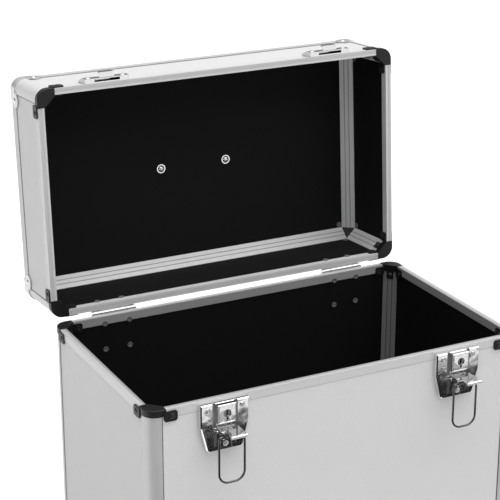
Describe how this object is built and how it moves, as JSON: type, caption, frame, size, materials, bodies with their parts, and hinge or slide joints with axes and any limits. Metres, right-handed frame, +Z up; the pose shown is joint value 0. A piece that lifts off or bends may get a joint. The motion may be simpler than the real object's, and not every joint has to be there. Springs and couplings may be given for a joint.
{
  "type": "record carrying case",
  "caption": "Tall carrying case for 12 inch records: panelled box with metal edges, a hinged lid, loop latches with locks and a folding handle.",
  "frame": {"origin": "on the floor, in the plane of the four feet's soles, under the middle of the base box", "axes": "+Z up, +X to the right when facing the latches, +Y towards the hinges at the back; the latches face -Y"},
  "size_m": [0.383, 0.3626, 0.5095],
  "materials": {
    "board": "thin fibreboard faced with pale grey embossed laminate",
    "lining": "thin black lining sheet with a fine matte grain",
    "extrusion": "satin anodised extrusion",
    "black_plastic": "black moulded plastic, lightly grained",
    "corner_metal": "pressed steel, bright plated",
    "rivet": "plated, slightly dulled",
    "hinge_steel": "pressed steel, bright plated",
    "latch_chrome": "pressed steel and wire, chromed",
    "lock": "turned lock barrel, plated",
    "screw": "plated screw, washer and pin",
    "rubber": "black rubber"
  },
  "bodies": {
    "base": {"base_front_panel": "board", "base_back_panel": "board", "base_left_panel": "board", "base_right_panel": "board", "base_bottom_panel": "board", "base_lining": "lining", "base_corner_posts": "extrusion", "base_front_rim": "extrusion", "base_back_rim": "extrusion", "base_left_rim": "extrusion", "base_right_rim": "extrusion", "base_bottom_edges": "extrusion", "base_rim_corners": "black_plastic", "base_inner_corners": "black_plastic", "base_metal_corners": "corner_metal", "base_corner_rivets": "rivet", "base_hardware_rivets": "rivet", "base_feet": "rubber", "base_foot_screws": "screw", "hinge_left_base_leaf": "hinge_steel", "hinge_right_base_leaf": "hinge_steel", "hinge_pins": "hinge_steel", "latch_left_plate": "latch_chrome", "latch_right_plate": "latch_chrome", "latch_left_lock_plate": "latch_chrome", "latch_right_lock_plate": "latch_chrome", "latch_lever_pins": "latch_chrome"},
    "lid": {"lid_front_panel": "board", "lid_back_panel": "board", "lid_left_panel": "board", "lid_right_panel": "board", "lid_top_panel": "board", "lid_lining": "lining", "lid_corner_posts": "extrusion", "lid_front_rim": "extrusion", "lid_back_rim": "extrusion", "lid_left_rim": "extrusion", "lid_right_rim": "extrusion", "lid_top_edges": "extrusion", "lid_rim_corners": "black_plastic", "lid_inner_corners": "black_plastic", "lid_metal_corners": "corner_metal", "lid_corner_rivets": "rivet", "lid_hardware_rivets": "rivet", "hinge_left_lid_leaf": "hinge_steel", "hinge_right_lid_leaf": "hinge_steel", "keeper_left": "latch_chrome", "keeper_right": "latch_chrome", "handle_base": "black_plastic", "handle_pins": "screw", "handle_screws": "screw", "handle_washers": "screw"},
    "grip": {"handle_grip": "black_plastic"},
    "left_lever": {"latch_left_lever": "latch_chrome"},
    "left_loop": {"latch_left_loop": "latch_chrome"},
    "right_lever": {"latch_right_lever": "latch_chrome"},
    "right_loop": {"latch_right_loop": "latch_chrome"},
    "left_lock": {"latch_left_lock_barrel": "lock"},
    "right_lock": {"latch_right_lock_barrel": "lock"}
  },
  "joints": [
    {"name": "lid_hinge", "type": "hinge", "parent": "base", "child": "lid", "pos_m": [0, 0.113, 0.2776], "axis": [1, 0, 0], "range_deg": [0, 94]},
    {"name": "handle_fold", "type": "hinge", "parent": "lid", "child": "grip", "pos_m": [0, 0.21336, 0.38386], "axis": [1, 0, 0], "range_deg": [0, 90]},
    {"name": "left_lever_turn", "type": "hinge", "parent": "base", "child": "left_lever", "pos_m": [-0.1192, -0.1186, 0.25], "axis": [1, 0, 0], "range_deg": [0, 88.83]},
    {"name": "left_loop_swing", "type": "hinge", "parent": "left_lever", "child": "left_loop", "pos_m": [-0.1192, -0.1284, 0.249], "axis": [1, 0, 0], "range_deg": [-270.26, 0]},
    {"name": "left_lock_turn", "type": "hinge", "parent": "base", "child": "left_lock", "pos_m": [-0.1192, -0.11, 0.2666], "axis": [0, 1, 0], "range_deg": [0, 90]},
    {"name": "right_lever_turn", "type": "hinge", "parent": "base", "child": "right_lever", "pos_m": [0.1192, -0.1186, 0.25], "axis": [1, 0, 0], "range_deg": [0, 88.83]},
    {"name": "right_loop_swing", "type": "hinge", "parent": "right_lever", "child": "right_loop", "pos_m": [0.1192, -0.1284, 0.249], "axis": [1, 0, 0], "range_deg": [-270.26, 0]},
    {"name": "right_lock_turn", "type": "hinge", "parent": "base", "child": "right_lock", "pos_m": [0.1192, -0.11, 0.2666], "axis": [0, 1, 0], "range_deg": [0, 90]}
  ],
  "couplings": [
    {"joint": "left_loop_swing", "follows": "left_lever_turn", "ratio": -3.0425},
    {"joint": "right_loop_swing", "follows": "right_lever_turn", "ratio": -3.0425}
  ]
}
